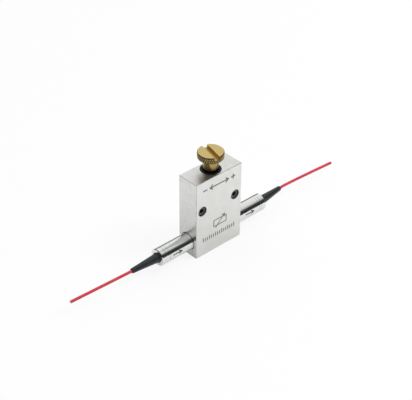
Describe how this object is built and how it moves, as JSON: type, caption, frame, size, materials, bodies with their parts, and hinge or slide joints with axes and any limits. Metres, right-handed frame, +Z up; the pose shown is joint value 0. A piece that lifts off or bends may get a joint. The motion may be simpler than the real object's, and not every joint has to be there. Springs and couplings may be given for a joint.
{
  "type": "fibre attenuator",
  "caption": "In-line variable optical attenuator: drilled metal block with a knurled brass thumb screw, steel fibre sleeves, rubber boots and red fibre leads.",
  "frame": {"origin": "middle of the block's bottom face, on the surface that it stands on", "axes": "+X along the fibre, the way the light goes; +Z up along the thumb screw; the front face with the set screws looks to -Y"},
  "size_m": [0.1048, 0.008, 0.0326],
  "materials": {
    "aluminium": "satin, fine milled grain",
    "brass": "turned, lightly polished",
    "polished_steel": "turned and polished",
    "spring_steel": "plain drawn wire and strip",
    "black_steel": "black oxide",
    "ring_rubber": "smooth moulded",
    "boot_rubber": "matte moulded",
    "red_jacket": "extruded, faint sheen",
    "plated_tube": "thin gold plating",
    "clear_glass": "polished",
    "fibre_coating": "clear acrylate coating"
  },
  "bodies": {
    "block": {"housing": "aluminium", "return_spring": "spring_steel", "friction_ring": "ring_rubber", "collimator_sleeve_left": "polished_steel", "end_cap_left": "polished_steel", "strain_relief_boot_left": "boot_rubber", "fibre_jacket_left": "red_jacket", "optic_tube_left": "plated_tube", "glass_tube_left": "clear_glass", "lens_left": "clear_glass", "ferrule_left": "clear_glass", "optical_fibre_left": "fibre_coating", "set_screw_left": "black_steel", "collimator_sleeve_right": "polished_steel", "end_cap_right": "polished_steel", "strain_relief_boot_right": "boot_rubber", "fibre_jacket_right": "red_jacket", "optic_tube_right": "plated_tube", "glass_tube_right": "clear_glass", "lens_right": "clear_glass", "ferrule_right": "clear_glass", "optical_fibre_right": "fibre_coating", "set_screw_right": "black_steel"},
    "washer": {"thrust_washer": "spring_steel"},
    "screw": {"attenuation_screw": "brass"}
  },
  "joints": [
    {"name": "screw_travel", "type": "slide", "parent": "block", "child": "washer", "axis": [0, 0, 1], "range_m": [-0.0035, 0.0005], "deforming": ["return_spring"]},
    {"name": "screw_turn", "type": "hinge", "parent": "washer", "child": "screw", "pos_m": [0, 0, 0.0245], "axis": [0, 0, 1], "range_deg": [-2520, 360]}
  ],
  "couplings": [
    {"joint": "screw_turn", "follows": "screw_travel", "rad_per_m": 12566}
  ]
}
